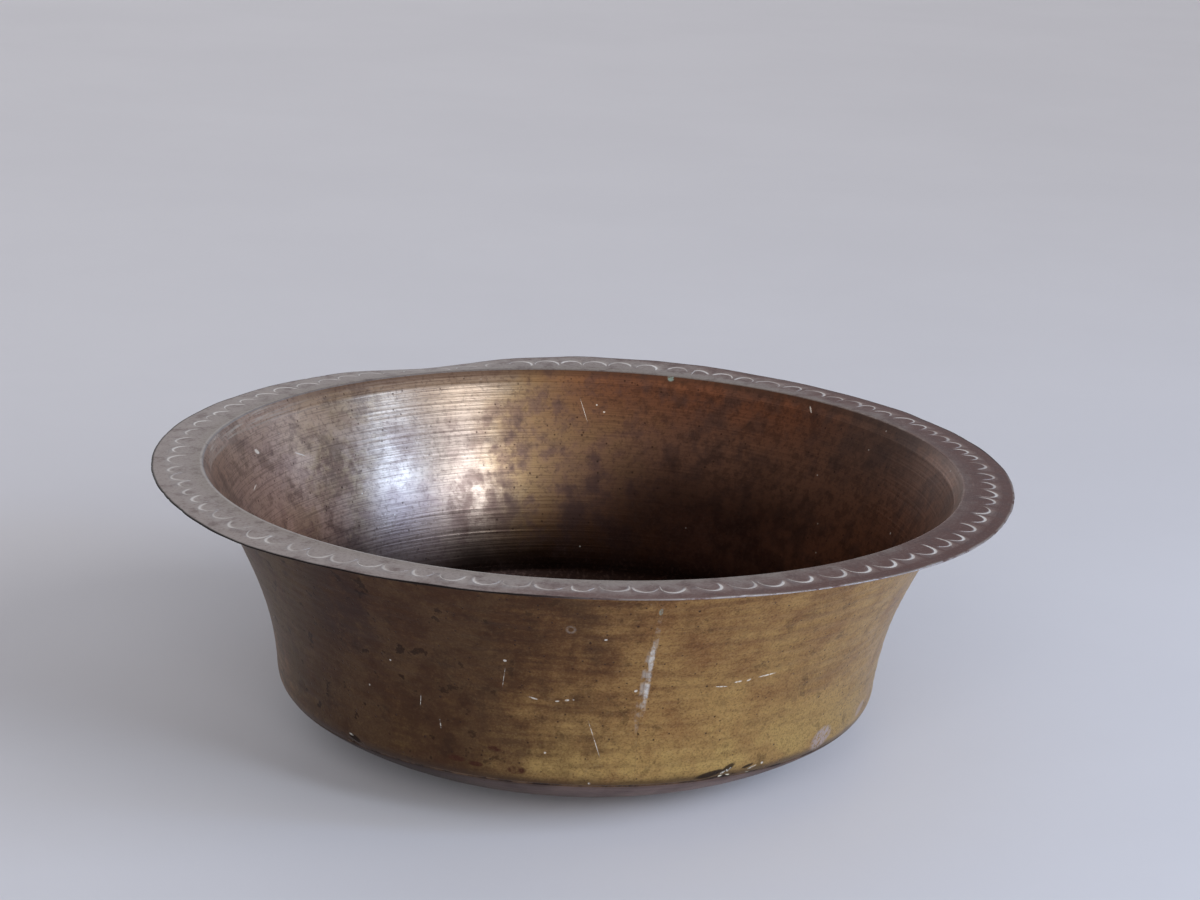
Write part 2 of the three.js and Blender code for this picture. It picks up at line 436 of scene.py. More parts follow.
# Bare metal in and by the knocks, two patches worn pink near the foot, a smoky patch and a small ring
KNOCK_BARE = [(-61.9, 30.4, 2.6, 1.3, 35), (-61.1, 31.2, 2.2, 1.0, -50), (-60.7, 32.2, 1.6, 0.9, 60),
              (-55.9, 30.8, 4.6, 0.9, 18), (-53.8, 32.0, 1.4, 1.2, 0), (-133.9, 32.9, 2.8, 1.0, -10),
              (-86.8, 29.6, 1.3, 1.2, 0)]
WORN_PATCH = (-38.3, 34.6, 15.0, 10.0, 17.2)
FAINT_PATCH = (-22.4, 37.0, 12.0, 5.0, 17.2)
SMOKY_PATCH = (-130.0, 104.0, 46.0, 46.0)
RING_PLACE = (-90.9, 111.3)

# Grey smears of solder over the side seam: azimuth, height, length, width and strength
SOLDER_SMEARS = [(-78.7, 83.0, 34.0, 4.4, 0.8), (-78.2, 104.0, 36.0, 2.4, 0.5),
                 (-79.3, 66.0, 20.0, 2.8, 0.45)]


def tarnished_wall(shade):
    """Colour, metal share, roughness and fine unevenness of the tarnished wall outside, with painted light
    and shade in its colour.
    """
    place, x, height, azimuth = bowl_places(shade)
    clouds = place.noise(8.0, 4.0, 0.55)
    mottle = place.noise(95.0, 6.0, 0.62)
    ruddy = place.noise(34.0, 6.0, 0.62)
    dust = place.noise(900.0, 3.0, 0.6)
    bands = level_place(shade, 12.0).noise(0.30, 3.0, 0.5)
    flecks = level_place(shade, 1.7).noise(0.42, 6.0, 0.66)
    grain = level_place(shade, 1.5).noise(1.3, 3.0, 0.6)
    drawn_down = shade.node("VectorMath", {0: place, 1: (1, 1, 0.1)}, {"operation": "MULTIPLY"})
    drips = drawn_down.noise(75.0, 3.0, 0.5)

    # Tarnish: least on the right, most at the front left, rubbed off near the foot. Painted light: the right
    # side, facing the lights, is painted fair and golden, and the front left dark as shade
    painted_lit_side = azimuth.towards(-14).step(-0.35, 1.0) * (1 - 0.45 * azimuth.towards(28).step(0.55, 1.0))
    tarnish = 0.3 * clouds + 0.4 * mottle + 0.3 * bands + 0.0024 * height - 0.385 * painted_lit_side + 0.205
    browned_and_shaded = tarnish.step(0.42, 1.02)
    front_left = azimuth.towards(-126)
    painted_shade_side = 0.36 * front_left.step(0.55, 1.0) + 0.14 * front_left.step(0.88, 1.0) * height.step(85, 35)
    darkened = (tarnish + 0.4 * ruddy + painted_shade_side + 0.3 * drips).step(1.0, 1.64)
    rubbed = height.step(66, 34) * x.step(-0.14, -0.03) * (0.35 + 0.65 * ruddy.step(0.58, 0.40))
    paler = darkened * place.noise(30.0, 6.0, 0.66).step(0.46, 0.60)
    smoky = oval(azimuth, height, *SMOKY_PATCH) * mottle.step(0.34, 0.56)
    olive = x.step(-0.105, -0.145) * mottle.step(0.38, 0.56)

    # Stains, pits, a darker band at the foot, painted shade in and round the knocks, and worn or scraped
    # places
    stains = most(ovals(azimuth, height, DARK_STAINS)) * mottle.step(0.36, 0.5)
    blotches = place.noise(64.0, 6.0, 0.70).step(0.56, 0.66) * (0.3 + 0.7 * x.step(0.03, -0.09))
    flaws = place.noise(120.0, 5.0, 0.62).step(0.61, 0.65) * (0.3 + 0.5 * x.step(0.0, -0.09))
    # Darker in a band at the foot, just above the base seam
    darker_foot = (height + 5 * ruddy + 3 * mottle).step(37.0, 33.2)
    pits = most([place.specks(300.0, 0.3, 0.19), place.specks(150.0, 0.2, 0.13),
                 place.specks(70.0, 0.4, 0.05)])
    worn = oval(azimuth, height, *WORN_PATCH) * place.noise(560.0, 4.0, 0.7).step(0.38, 0.54)
    worn = most([worn, 0.6 * oval(azimuth, height, *FAINT_PATCH)])
    knock_shade = most(ovals(azimuth, height, KNOCK_SHADE))
    smeared = most([share * oval(azimuth, height, *smear, 90) for *smear, share in SOLDER_SMEARS])
    smeared = smeared * place.noise(160.0, 5.0, 0.7).step(0.42, 0.58)
    ring = oval(azimuth, height, *RING_PLACE, 4.2, 4.2) - oval(azimuth, height, *RING_PLACE, 2.4, 2.4)
    scrapes = ovals(azimuth, height, PALE_SCRAPES + KNOCK_BARE)
    pale = most(scrapes + [0.25 * ring, 0.6 * place.specks(60.0, 0.12, 0.05)])
    pale = pale * place.noise(900.0, 2.0).step(0.3, 0.55)

    # The golden to brown mix and the dark brown carry painted light and shade as well as the tarnish
    colour = browned_and_shaded.mixed(GOLDEN, BROWN).coated(
        (0.5 * ruddy.step(0.42, 0.68), RUDDY_BROWN),
        (0.5 * rubbed, RUBBED_GOLD),
        (0.94 * darkened, DARK_BROWN),
        (0.6 * paler, PALER_BROWN),
        (0.55 * smoky, SMOKE),
        (0.6 * olive, OLIVE_BROWN),
        (0.14 * bands.step(0.5, 0.64), BAND_BROWN),
        (0.9 * stains, OXBLOOD),
        (0.3 * flecks.step(0.5, 0.7), DARK_FLECK),
        (0.2 * flecks.step(0.48, 0.3) * (1 - 0.7 * darkened), FAIR_FLECK),
        (0.3 * grain.step(0.5, 0.7), DARK_GRAIN),
        (0.18 * grain.step(0.48, 0.3) * (1 - 0.85 * darkened), FAIR_GRAIN),
        (0.5 * blotches, BLOTCH),
        (flaws, FLAW),
        (0.34 * dust.step(0.5, 0.66), DARK_DUST),
        (0.16 * dust.step(0.46, 0.32) * (1 - 0.8 * darkened), FAIR_DUST),
        (0.75 * darker_foot, FOOT_BROWN),
        (0.8 * pits, UMBER),
        (0.9 * worn, WORN_PINK),
        (0.85 * knock_shade, KNOCK_SHADE_BROWN),
        (0.6 * smeared, SMEARED_SOLDER),
        (0.75 * pale, CHALK))
    roughness = 0.30 + 0.06 * browned_and_shaded + 0.14 * mottle + 0.3 * knock_shade
    uneven = 0.9 * bands + 0.5 * flecks + 0.3 * grain + 0.1 * dust - 0.8 * pits + 0.6 * worn
    return colour, 1 - 0.5 * pale - 0.3 * smeared, roughness, uneven


def hammered_outside():
    finish, shade = new_finish("hammered_outside")
    metal(shade, *tarnished_wall(shade), depth=0.00018)
    return finish


# Colours of the scraped inside, from the bare metal up to what lies on it
SCRAPED_GOLD = (0.60, 0.36, 0.16)
SCRAPED_PINK = (0.56, 0.40, 0.30)
OLIVE_GOLD = (0.46, 0.325, 0.19)
COPPER = (0.53, 0.27, 0.175)
COPPER_RED = (0.50, 0.18, 0.09)
PATCH_BROWN = (0.27, 0.155, 0.12)
BLOT_BROWN = (0.25, 0.145, 0.12)
SPECKLE_BROWN = (0.10, 0.052, 0.04)
PALE_PINK = (0.66, 0.48, 0.42)
DULL_GOLD = (0.54, 0.34, 0.205)
GRUBBY_BROWN = (0.20, 0.13, 0.10)
TARNISH_BROWN = (0.12, 0.068, 0.06)
MAUVE_BROWN = (0.41, 0.28, 0.215)
MAUVE = (0.48, 0.345, 0.31)
LOW_BROWN = (0.042, 0.019, 0.016)
DIM_BROWN = (0.12, 0.07, 0.055)
CORNER_BLACK = (0.024, 0.013, 0.011)
BOTTOM_BROWN = (0.22, 0.122, 0.082)
UNDER_RIM_SHADE_BROWN = (0.16, 0.085, 0.06)
VEIL_GREY = (0.25, 0.195, 0.185)

# Marks inside: azimuth, height, length and width, and the tilt of the scrapes in degrees
GREEN_SPOT = (75.5, 137.6, 3.4, 3.0)
SHADE_PATCH = (110.5, 72.0, 44.0, 34.0)
INSIDE_SCRAPES = [(161.9, 121.3, 4.0, 2.2, 30), (90.4, 118.5, 12.0, 0.3, 70), (48.4, 134.0, 4.0, 0.8, 50),
                  (86.7, 118.0, 1.2, 0.9, 0), (88.1, 121.4, 1.0, 0.9, 0), (150.0, 112.0, 7.0, 0.5, 25),
                  (168.0, 108.0, 6.0, 0.5, -15), (15.0, 95.0, 1.4, 1.0, 0)]


def scraped_inside():
    finish, shade = new_finish("scraped_inside")
    place, x, height, azimuth = bowl_places(shade)
    clouds = place.noise(10.0, 4.0, 0.55)
    patches = place.noise(42.0, 5.0, 0.62)
    mottle = place.noise(85.0, 6.0, 0.65)
    blots = place.noise(150.0, 4.0, 0.55)
    dust = place.noise(520.0, 3.0, 0.6)
    grooves = level_place(shade, 60.0).noise(0.7, 1.5, 0.5)
    strokes = level_place(shade, 50.0).noise(1.7, 2.5, 0.55)

    # Pink and scraped bright at the left, golden at the back, coppery at the right
    pinkish = (x + 0.08 * clouds + 0.04 * mottle).step(0.046, 0.0)
    coppery = (x + 0.16 * clouds + 0.1 * mottle).step(0.09, 0.2)
    olive = x.step(-0.106, -0.12) * patches.step(0.42, 0.56)
    reddish = height.step(100, 132) * azimuth.towards(68).step(0.82, 0.97)
    # Painted highlight: fewer dark patches where the windows' highlight falls at the back left
    highlight_zone = x.step(-0.124, -0.112) * x.step(-0.05, -0.066) * height.step(70, 92)
    patchy = patches.step(0.48, 0.64) * (1 - 0.6 * pinkish)
    blotted = (0.45 + 0.15 * pinkish - 0.36 * highlight_zone) * mottle.step(0.48, 0.62)
    speckled = (x.step(-0.02, 0.06) + 0.6 * pinkish) * place.noise(190.0, 5.0, 0.65).step(0.46, 0.62)
    golden = height.step(104, 130) * x.step(-0.035, -0.065) * (1 - 0.6 * x.step(-0.14, -0.165))
    grubby = x.step(-0.104, -0.12) * (0.5 + 0.35 * height.step(120, 80))
    grubby = grubby * place.noise(62.0, 6.0, 0.66).step(0.5, 0.6)

    # Darker towards the bottom, painted shade together with patina, and a grey bloom low down at the left
    leaned = shade.math("MAXIMUM", shade.math("MINIMUM", x, 0.05), -0.085)
    low = (height + 40 * clouds - 410 * leaned).step(132, 73) * (1 - 0.55 * x.step(0.09, 0.15))
    low = low * (1 - 0.65 * x.step(-0.056, -0.082))
    tarnish = 0.3 * clouds + 0.45 * patches + 0.3 * mottle + 0.5 * blots + 0.12 * low
    darkened = tarnish.step(0.82, 1.03) * (1 - 0.6 * pinkish)
    darkened = darkened * (1 - 0.35 * height.step(95, 125)) * (1 - 0.6 * highlight_zone)
    far_left = shade.math("MINIMUM", x + 0.1, 0.0)
    bloom = (height + 400 * far_left).step(92, 70) * x.step(-0.055, -0.09) * mottle.step(0.2, 0.42)
    mauve = x.step(-0.13, -0.09).mixed(MAUVE_BROWN, MAUVE)
    # Painted shade: an oval that dims the low end of the warm window's reflection
    dim = oval(azimuth, height, *SHADE_PATCH) * mottle.step(0.36, 0.56)
    bottom = (height + 8 * patches).step(13, 5) * (0.55 + 0.2 * patches.step(0.62, 0.38))

    # Pits, painted shade together with grime under the rim, rubbing there, scrapes and a green spot
    pits = most([place.specks(240.0, 0.3, 0.18), place.specks(110.0, 0.24, 0.11)])
    at_left = azimuth.towards(180).step(0.7, 0.95)
    under_rim = height.step(RIM_HEIGHT - 5, RIM_HEIGHT - 1.5) * (1 - at_left)
    veil = azimuth.towards(8).step(0.7, 0.98) * height.step(96, 132)
    rubbed_corner = 0.5 * at_left * height.step(128, 135) * strokes.step(0.5, 0.6)
    pale = most(ovals(azimuth, height, INSIDE_SCRAPES) + [place.specks(120.0, 0.14, 0.07), rubbed_corner])
    green = oval(azimuth, height, *GREEN_SPOT) * dust.step(0.4, 0.5)

    colour = pinkish.mixed(SCRAPED_GOLD, SCRAPED_PINK).coated(
        (0.8 * olive, OLIVE_GOLD),
        (coppery, COPPER),
        (0.75 * reddish, COPPER_RED),
        (0.5 * patchy, PATCH_BROWN),
        (blotted, BLOT_BROWN),
        (0.4 * speckled, SPECKLE_BROWN),
        (0.6 * x.step(-0.136, -0.165), PALE_PINK),
        (0.55 * golden, DULL_GOLD),
        (grubby, GRUBBY_BROWN),
        ((0.72 - 0.3 * coppery) * darkened, TARNISH_BROWN),
        ((0.7 - 0.4 * x.step(-0.1, -0.122)) * bloom, mauve),
        # Painted shade with patina: the low darkening, and near black down to the corner by the base
        (0.86 * low, LOW_BROWN),
        (0.6 * dim, DIM_BROWN),
        (0.9 * height.step(51, 34), CORNER_BLACK),
        (bottom, BOTTOM_BROWN),
        ((0.34 - 0.26 * coppery) * strokes.step(0.48, 0.64), UMBER),
        (0.4 * dust.step(0.5, 0.68), DIM_BROWN),
        (0.75 * pits, UMBER),
        (0.6 * under_rim, UNDER_RIM_SHADE_BROWN),
        (0.55 * veil, VEIL_GREY),
        (0.65 * pale, CHALK),
        (0.85 * green, VERDIGRIS))
    roughness = 0.26 + 0.12 * darkened + 0.1 * patches + 0.1 * coppery + 0.08 * bloom
    roughness = roughness + 0.18 * height.step(36, 22)
    uneven = grooves + 0.12 * strokes + 0.03 * dust - 0.1 * pits
    metal(shade, colour, 1 - 0.5 * pale - 0.4 * green, roughness, uneven, depth=0.00009)
    return finish


wall_along = np.concatenate([stations(RIM_END - FLANGE_WIDTH, RIM_END, 2.5)[:-1],
                             stations(RIM_END, BEND_END, 0.6)[:-1],
                             stations(BEND_END, BASE_SEAM_START, 1.0)])[:, None]
turn = np.linspace(0, 1, WALL_COLUMNS)[None, :]


def wall_face(along, depth, seam_width):
    """Points of one face of the band, from one side of the side seam round to the other."""
    radius, height = face(along, depth)
    clear = np.arcsin(seam_width / 2 / radius)
    azimuth = SIDE_SEAM_AZIMUTH + clear + (2 * math.pi - 2 * clear) * turn
    return upright(azimuth, radius, height + rim_lift(azimuth, radius))


round_azimuth = SIDE_SEAM_AZIMUTH + 2 * math.pi * turn
held = fade(wall_along, BEND_END, BEND_END + 8) * (1 - fade(wall_along, WALL_END, BASE_SEAM_START))
waver = wall_waver(round_azimuth, wall_along) + foot_knocks(round_azimuth, wall_along)
outside_marks = hammer_marks(21, round_azimuth, wall_along, width=8.5, height=4.4)
inside_marks = hammer_marks(22, round_azimuth, wall_along, width=16.0, height=6.5)
ripples = np.clip(rumple(23, round_azimuth, wall_along, turns=26, pitch=5.0, count=30), -1, 1)
ripple_depth = RIPPLE_DEPTH - CALMER_AT_LEFT * fade(-np.cos(round_azimuth), 0.2, 0.8)
outside_depth = waver + held * (OUTSIDE_MARK_DEPTH * (1 - outside_marks) + ripple_depth * (1 + ripples))
inside_depth = sheet_depth(wall_along) + 0.5 * waver + held * INSIDE_MARK_DEPTH * inside_marks
wall_points = np.concatenate([wall_face(wall_along, outside_depth, SIDE_SEAM_WIDTH),
                              wall_face(wall_along, inside_depth, SIDE_SEAM_WIDTH)[::-1]])
wall_rows = len(wall_along)
wall_faces = grid_faces(2 * wall_rows, WALL_COLUMNS, closed_rows=True)
outer_row = np.arange(wall_rows - 1)
inner_row = 2 * wall_rows - 1 - outer_row
first_edge = np.stack([outer_row, inner_row, inner_row - 1, outer_row + 1], -1) * WALL_COLUMNS
last_edge = first_edge[:, ::-1] + WALL_COLUMNS - 1
inside_row = np.arange(2 * wall_rows) >= wall_rows
wall_finish = np.repeat(inside_row & (np.arange(2 * wall_rows) < 2 * wall_rows - 1), WALL_COLUMNS - 1)
wall_piece = make_piece(
    "wall_band_beaten", wall_points, np.concatenate([wall_faces, first_edge, last_edge]),
    [hammered_outside(), scraped_inside()],
    np.concatenate([wall_finish, np.zeros(2 * len(first_edge))]),
    along=np.repeat(np.concatenate([wall_along, wall_along[::-1]]), WALL_COLUMNS))
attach(wall_piece, "root")
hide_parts("wall_band")


# Side seam
# The band's two ends meet in an upright seam at the front, run full of grey solder and filed down.
# Most of it is tarnished over like the wall, and the pale metal shows where it has been rubbed.

STRIP_COLUMNS = 11
SEAM_RADIUS = 158.0
RUBBED_TOP = 127.0
RUBBED_FOOT = 52.0
BARE_SOLDER = (0.56, 0.58, 0.59)
SEAM_GREEN = (-78.3, 121.6, 1.6, 3.4)


def rubbed_solder():
    finish, shade = new_finish("rubbed_solder")
    place, _, height, azimuth = bowl_places(shade)
    colour, metallic, roughness, uneven = tarnished_wall(shade)
    mottle = place.noise(60.0, 5.0, 0.7)
    flecks = place.noise(420.0, 4.0, 0.7)
    across = (azimuth - SIDE_SEAM_AZIMUTH) * SEAM_RADIUS
    centred = (across * across).step(2.0, 0.1)
    shown = height.step(RUBBED_FOOT, RUBBED_FOOT + 26) * height.step(RUBBED_TOP, RUBBED_TOP - 36)
    bare = 0.6 * flecks + 0.9 * mottle + 0.3 * shown + 0.2 * centred
    bare = bare.step(1.08, 1.36) * shown.step(0.02, 0.2)
    green = oval(azimuth, height, *SEAM_GREEN) * flecks.step(0.36, 0.56)
    colour = colour.coated((0.7 * bare, BARE_SOLDER), (0.6 * green, VERDIGRIS))
    metallic = metallic - 0.5 * bare - 0.4 * green
    metal(shade, colour, metallic, roughness + 0.1 * bare, uneven + bare, depth=0.0002)
    return finish


strip_along = stations(RIM_END - FLANGE_WIDTH, BASE_SEAM_START, 0.7)[:, None]
strip_across = np.linspace(-1, 1, STRIP_COLUMNS)[None, :]
strip_reach = strip_across * (SIDE_SEAM_WIDTH / 2 - PIECE_CLEARANCE)


def strip_face(depth, columns):
    radius, height = face(strip_along, depth)
    azimuth = SIDE_SEAM_AZIMUTH + np.arcsin(columns / radius)
    return upright(azimuth, radius, height + rim_lift(azimuth, radius))


strip_waver = wall_waver(np.array(SIDE_SEAM_AZIMUTH), strip_along)
lumps = (rumple(31, 3 * strip_across, strip_along, turns=2, pitch=5.0)
         + rumple(32, strip_across, strip_along, turns=1, pitch=17.0))
strip_held = fade(strip_along, BEND_END + 3, BEND_END + 9)
bead = strip_held * (1 - strip_across ** 2) * (0.05 + 0.05 * lumps)
strip_points = np.concatenate([
    strip_face(strip_waver + PIECE_CLEARANCE - bead, strip_reach),
    strip_face(sheet_depth(strip_along) + 0.5 * strip_waver, strip_reach)[:, ::-1]], 1)
strip_faces = grid_faces(len(strip_along), 2 * STRIP_COLUMNS, closed_columns=True)
outer_column = np.arange(STRIP_COLUMNS - 1)
inner_column = 2 * STRIP_COLUMNS - 1 - outer_column
strip_top = np.stack([outer_column, outer_column + 1, inner_column - 1, inner_column], -1)
strip_foot = strip_top[:, ::-1] + (len(strip_along) - 1) * 2 * STRIP_COLUMNS
strip_inside = np.tile(np.arange(2 * STRIP_COLUMNS) >= STRIP_COLUMNS, len(strip_along) - 1)
strip_piece = make_piece("side_seam_bead", strip_points, np.concatenate([strip_faces, strip_top, strip_foot]),
                         [rubbed_solder(), bpy.data.materials["scraped_inside"]],
                         np.concatenate([strip_inside, np.zeros(2 * len(strip_top))]),
                         along=np.repeat(strip_along, 2 * STRIP_COLUMNS))
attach(strip_piece, "root")
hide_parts("side_seam_solder")


# Base pan
# The base is a second copper sheet, sunk to a shallow dish with a flat middle that it stands on.
# Its edge is turned up into a feathered collar that sits inside the wall's foot.

BASE_SHEET = 1.2
COLLAR_HEIGHT = 9.0
COLLAR_FEATHER = 0.2
BASE_SEAM_WIDTH = 1.8
BASE_COLUMNS = 400
AXIS_HOLE = 0.4
BASE_SEAM_END = BASE_SEAM_START + BASE_SEAM_WIDTH
BASE_MAUVE = (0.27, 0.18, 0.15)
BASE_BROWN = (0.12, 0.072, 0.06)
BASE_RUBBED = (0.40, 0.27, 0.17)
BASE_SHADE = (0.042, 0.024, 0.017)


def dull_base():
    finish, shade = new_finish("dull_base")
    place, x, height, _ = bowl_places(shade)
    clouds = place.noise(14.0, 5.0, 0.6)
    mottle = place.noise(60.0, 6.0, 0.65)
    bands = level_place(shade, 14.0).noise(0.3, 4.0, 0.6)
    tarnish = 0.6 * clouds + 0.5 * mottle + 0.2 * bands
    rubbed = (3.0 * mottle - height).step(-1.6, 1.0)
    pits = place.specks(230.0, 0.2, 0.15)
    colour = tarnish.step(0.5, 0.86).mixed(BASE_MAUVE, BASE_BROWN).coated(
        (0.6 * rubbed, BASE_RUBBED),
        # Painted shade: the base darkened at the left, on the side away from the lights
        (0.92 * x.step(0.03, -0.08), BASE_SHADE),
        (0.7 * pits, UMBER))
    uneven = bands + 0.4 * place.noise(500.0, 3.0) - pits
    metal(shade, colour, 0.92, 0.42 + 0.16 * tarnish, uneven, depth=0.0002)
    return finish


collar_top = BASE_SEAM_START - COLLAR_HEIGHT
base_outer = np.concatenate([stations(BASE_SEAM_END, EDGE_END, 0.8)[:-1],
                             stations(EDGE_END, DISH_END, 2.0)[:-1],
                             stations(DISH_END, LENGTH - AXIS_HOLE, 3.0)])
collar_outer = stations(collar_top, BASE_SEAM_END, 0.8)
base_inner = np.concatenate([collar_outer, base_outer[base_outer > BASE_SEAM_END + BASE_SHEET]])
base_azimuth = np.linspace(0, 2 * math.pi, BASE_COLUMNS, endpoint=False)[None, :]
collar_lean = fade(base_inner, collar_top, BASE_SEAM_END + 3)
inner_thickness = COLLAR_FEATHER + (BASE_SHEET - COLLAR_FEATHER) * collar_lean
on_collar = 1 - fade(base_inner, BASE_SEAM_START - 2, BASE_SEAM_END + 5)
inner_depth = inner_thickness + on_collar * (WALL_SHEET + PIECE_CLEARANCE)
outer_marks = hammer_marks(41, base_azimuth, base_outer[:, None], width=13.0, height=8.0)
inner_marks = hammer_marks(42, base_azimuth, base_inner[:, None], width=15.0, height=9.0)
base_free = fade(base_outer[:, None], BASE_SEAM_END + 3, BASE_SEAM_END + 25)
inner_free = fade(base_inner[:, None], BASE_SEAM_END + 3, BASE_SEAM_END + 25)
base_knocks = foot_knocks(base_azimuth, base_outer[:, None])
base_rows = [
    (base_inner[::-1], (inner_depth[:, None] + inner_free * 0.07 * inner_marks)[::-1]),
    (collar_outer, np.full((len(collar_outer), 1), WALL_SHEET + PIECE_CLEARANCE)),
    (base_outer, base_free * 0.08 * (1 - outer_marks) + base_knocks)]
base_along = np.concatenate([along for along, depth in base_rows])
base_depth = np.concatenate([np.broadcast_to(depth, (len(along), BASE_COLUMNS))
                             for along, depth in base_rows])
base_points = upright(base_azimuth, *face(base_along[:, None], base_depth))
base_faces = grid_faces(len(base_along), BASE_COLUMNS, closed_columns=True).tolist()
last_row = (len(base_along) - 1) * BASE_COLUMNS
base_faces += [list(range(BASE_COLUMNS)), list(range(last_row + BASE_COLUMNS - 1, last_row - 1, -1))]
inside_faces = (len(base_inner) + len(collar_outer) // 2) * BASE_COLUMNS
base_finish = (np.arange(len(base_faces)) < inside_faces).astype(int)
base_finish[-2] = 1
base_piece = make_piece("base_pan_sunk", base_points, base_faces,
                        [dull_base(), bpy.data.materials["scraped_inside"]], base_finish,
                        along=np.repeat(base_along, BASE_COLUMNS))
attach(base_piece, "root")
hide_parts("base_pan")


# Base seam
# A ring of solder fills the groove between the wall's foot and the base. It has sunk and gone dark,
# and shows pale where later knocks have broken or smeared it.

SEAM_COLUMNS = 1200
SEAM_ROWS = 9
SEAM_HEIGHT = 29.6
SMEAR_WIDTH = 1.7
DEEPEST_KNOCK = 0.9
SEAM_BROWN = (0.20, 0.12, 0.07)
SEAM_BLACK = (0.05, 0.033, 0.026)
PALE_SOLDER = (0.66, 0.62, 0.50)

# Pale smears along the seam: azimuth in degrees, length and tilt in degrees
PALE_SMEARS = [(-61.9, 4.6, 40), (-61.0, 4.0, -35), (-60.6, 2.4, 60), (-55.9, 5.6, 25), (-54.0, 1.6, 0),
               (-86.8, 1.2, 0), (-134.6, 1.6, 20), (100.0, 4.0, 10), (170.0, 3.0, -20)]


def sunk_solder():
    finish, shade = new_finish("sunk_solder")
    place, _, height, azimuth = bowl_places(shade)
    mottle = place.noise(120.0, 5.0, 0.65)
    smears = [(at, SEAM_HEIGHT, length, SMEAR_WIDTH, tilt) for at, length, tilt in PALE_SMEARS]
    pale = most(ovals(azimuth, height, smears)) * mottle.step(0.3, 0.5)
    colour = mottle.step(0.36, 0.62).mixed(SEAM_BROWN, SEAM_BLACK).coated((0.9 * pale, PALE_SOLDER))
    metal(shade, colour, 0.9 - 0.5 * pale, 0.55, mottle + place.noise(700.0, 3.0), depth=0.0003)
    return finish


seam_azimuth = np.linspace(0, 2 * math.pi, SEAM_COLUMNS, endpoint=False)[None, :]
seam_across = np.linspace(0, 1, SEAM_ROWS)[:, None]
seam_along = BASE_SEAM_START + PIECE_CLEARANCE + (BASE_SEAM_WIDTH - 2 * PIECE_CLEARANCE) * seam_across
seam_hollow = np.sin(math.pi * seam_across)
seam_lumps = rumple(51, seam_azimuth, seam_along, turns=160, pitch=4.0)
smeared = np.zeros(seam_azimuth.shape)
for at, length, _ in PALE_SMEARS:
    smeared += np.exp(-(turn_between(seam_azimuth, math.radians(at)) * FOOT_RADIUS / length) ** 2)
seam_filled = 0.17 + 0.14 * np.clip(rumple(52, seam_azimuth, 0, turns=9, pitch=1.0), -1, 1)
seam_sunk = seam_hollow * (seam_filled + 0.08 * seam_lumps - 0.3 * np.minimum(smeared, 1))
seam_knocks = foot_knocks(seam_azimuth, seam_along)
seam_inner = np.full((SEAM_ROWS, SEAM_COLUMNS), WALL_SHEET - PIECE_CLEARANCE)
seam_loop = np.concatenate([seam_along, seam_along[::-1]])
seam_depth = np.concatenate([0.05 + seam_sunk + np.minimum(seam_knocks, DEEPEST_KNOCK), seam_inner])
seam_points = upright(seam_azimuth, *face(seam_loop, seam_depth))
seam_faces = grid_faces(2 * SEAM_ROWS, SEAM_COLUMNS, closed_rows=True, closed_columns=True)
seam_piece = make_piece("base_seam_run", seam_points, seam_faces, [sunk_solder()],
                        along=np.repeat(seam_loop, SEAM_COLUMNS))
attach(seam_piece, "root")
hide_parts("base_seam_solder")


# Rim ring
# A flat ring of thin sheet lies on the flange and is rolled over into the mouth as a short lip. It is
# beaten a little uneven, and a chain of crescents is chased round it with a curved punch.

CRESCENTS = 87
CRESCENT_FOOT = 193.6
CRESCENT_RISE = 7.7
CRESCENT_HALF_CHORD = 6.7
CHASED_WIDTH = 0.42
CHASED_FAT_WIDTH = 0.95
CHASED_DEPTH = 0.30
BURR = 0.05
CELL_INNER = 190.4
CELL_OUTER = 204.4
CELL_STEPS = 12
SIDE_STEPS = 8
RIM_UNDERSIDE = WALL_SHEET + SEAM_GAP
RIM_TOP = RIM_UNDERSIDE + RIM_SHEET
EDGE_ROUND = 0.3
CORNER_RADIUS = 185.4
CORNER_ROUND = 1.3
OVER_FOLD = 0.62
CREASE_AZIMUTH = math.radians(1.5)
EDGE_TURNS = np.radians([20, 45, 70, 110, 135, 160])
NICKS = 70
RIM_GREY = (0.41, 0.352, 0.337)
RIM_PLUM = (0.215, 0.12, 0.106)
RIM_OLIVE = (0.34, 0.295, 0.26)
RIM_BROWN = (0.19, 0.135, 0.13)
RIM_DARK_GRAIN = (0.17, 0.12, 0.115)
RIM_FAIR_GRAIN = (0.46, 0.40, 0.385)
RIM_SCRATCH = (0.44, 0.385, 0.37)
EDGE_HIGHLIGHT = (0.66, 0.60, 0.56)
EDGE_SHADE = (0.02, 0.014, 0.012)
CORNER_HIGHLIGHT = (0.6, 0.56, 0.54)
CHASED_WHITE = (0.80, 0.77, 0.75)


def rim_dips(azimuth, radius):
    """Depth of the hammer's flats and of one radial crease in the rim's face."""
    out = fade(radius, MOUTH_RADIUS - 4, MOUTH_RADIUS + 6)
    flats = 0.07 * (1 - hammer_marks(61, azimuth, radius, width=11.0, height=7.0))
    slow = 0.08 * (1 + np.clip(rumple(62, azimuth, radius, turns=26, pitch=40.0), -1, 1))
    wavy = 0.22 * (1 + np.clip(rumple(66, azimuth, 0, turns=38, pitch=1.0), -1, 1))
    wavy = wavy * fade(radius, 198, RIM_RADIUS)
    creased = np.exp(-(turn_between(azimuth, CREASE_AZIMUTH) * radius / 0.8) ** 2)
    return out * (0.02 + flats + slow) + wavy + 0.4 * creased * (1 - fade(radius, 190, 199))


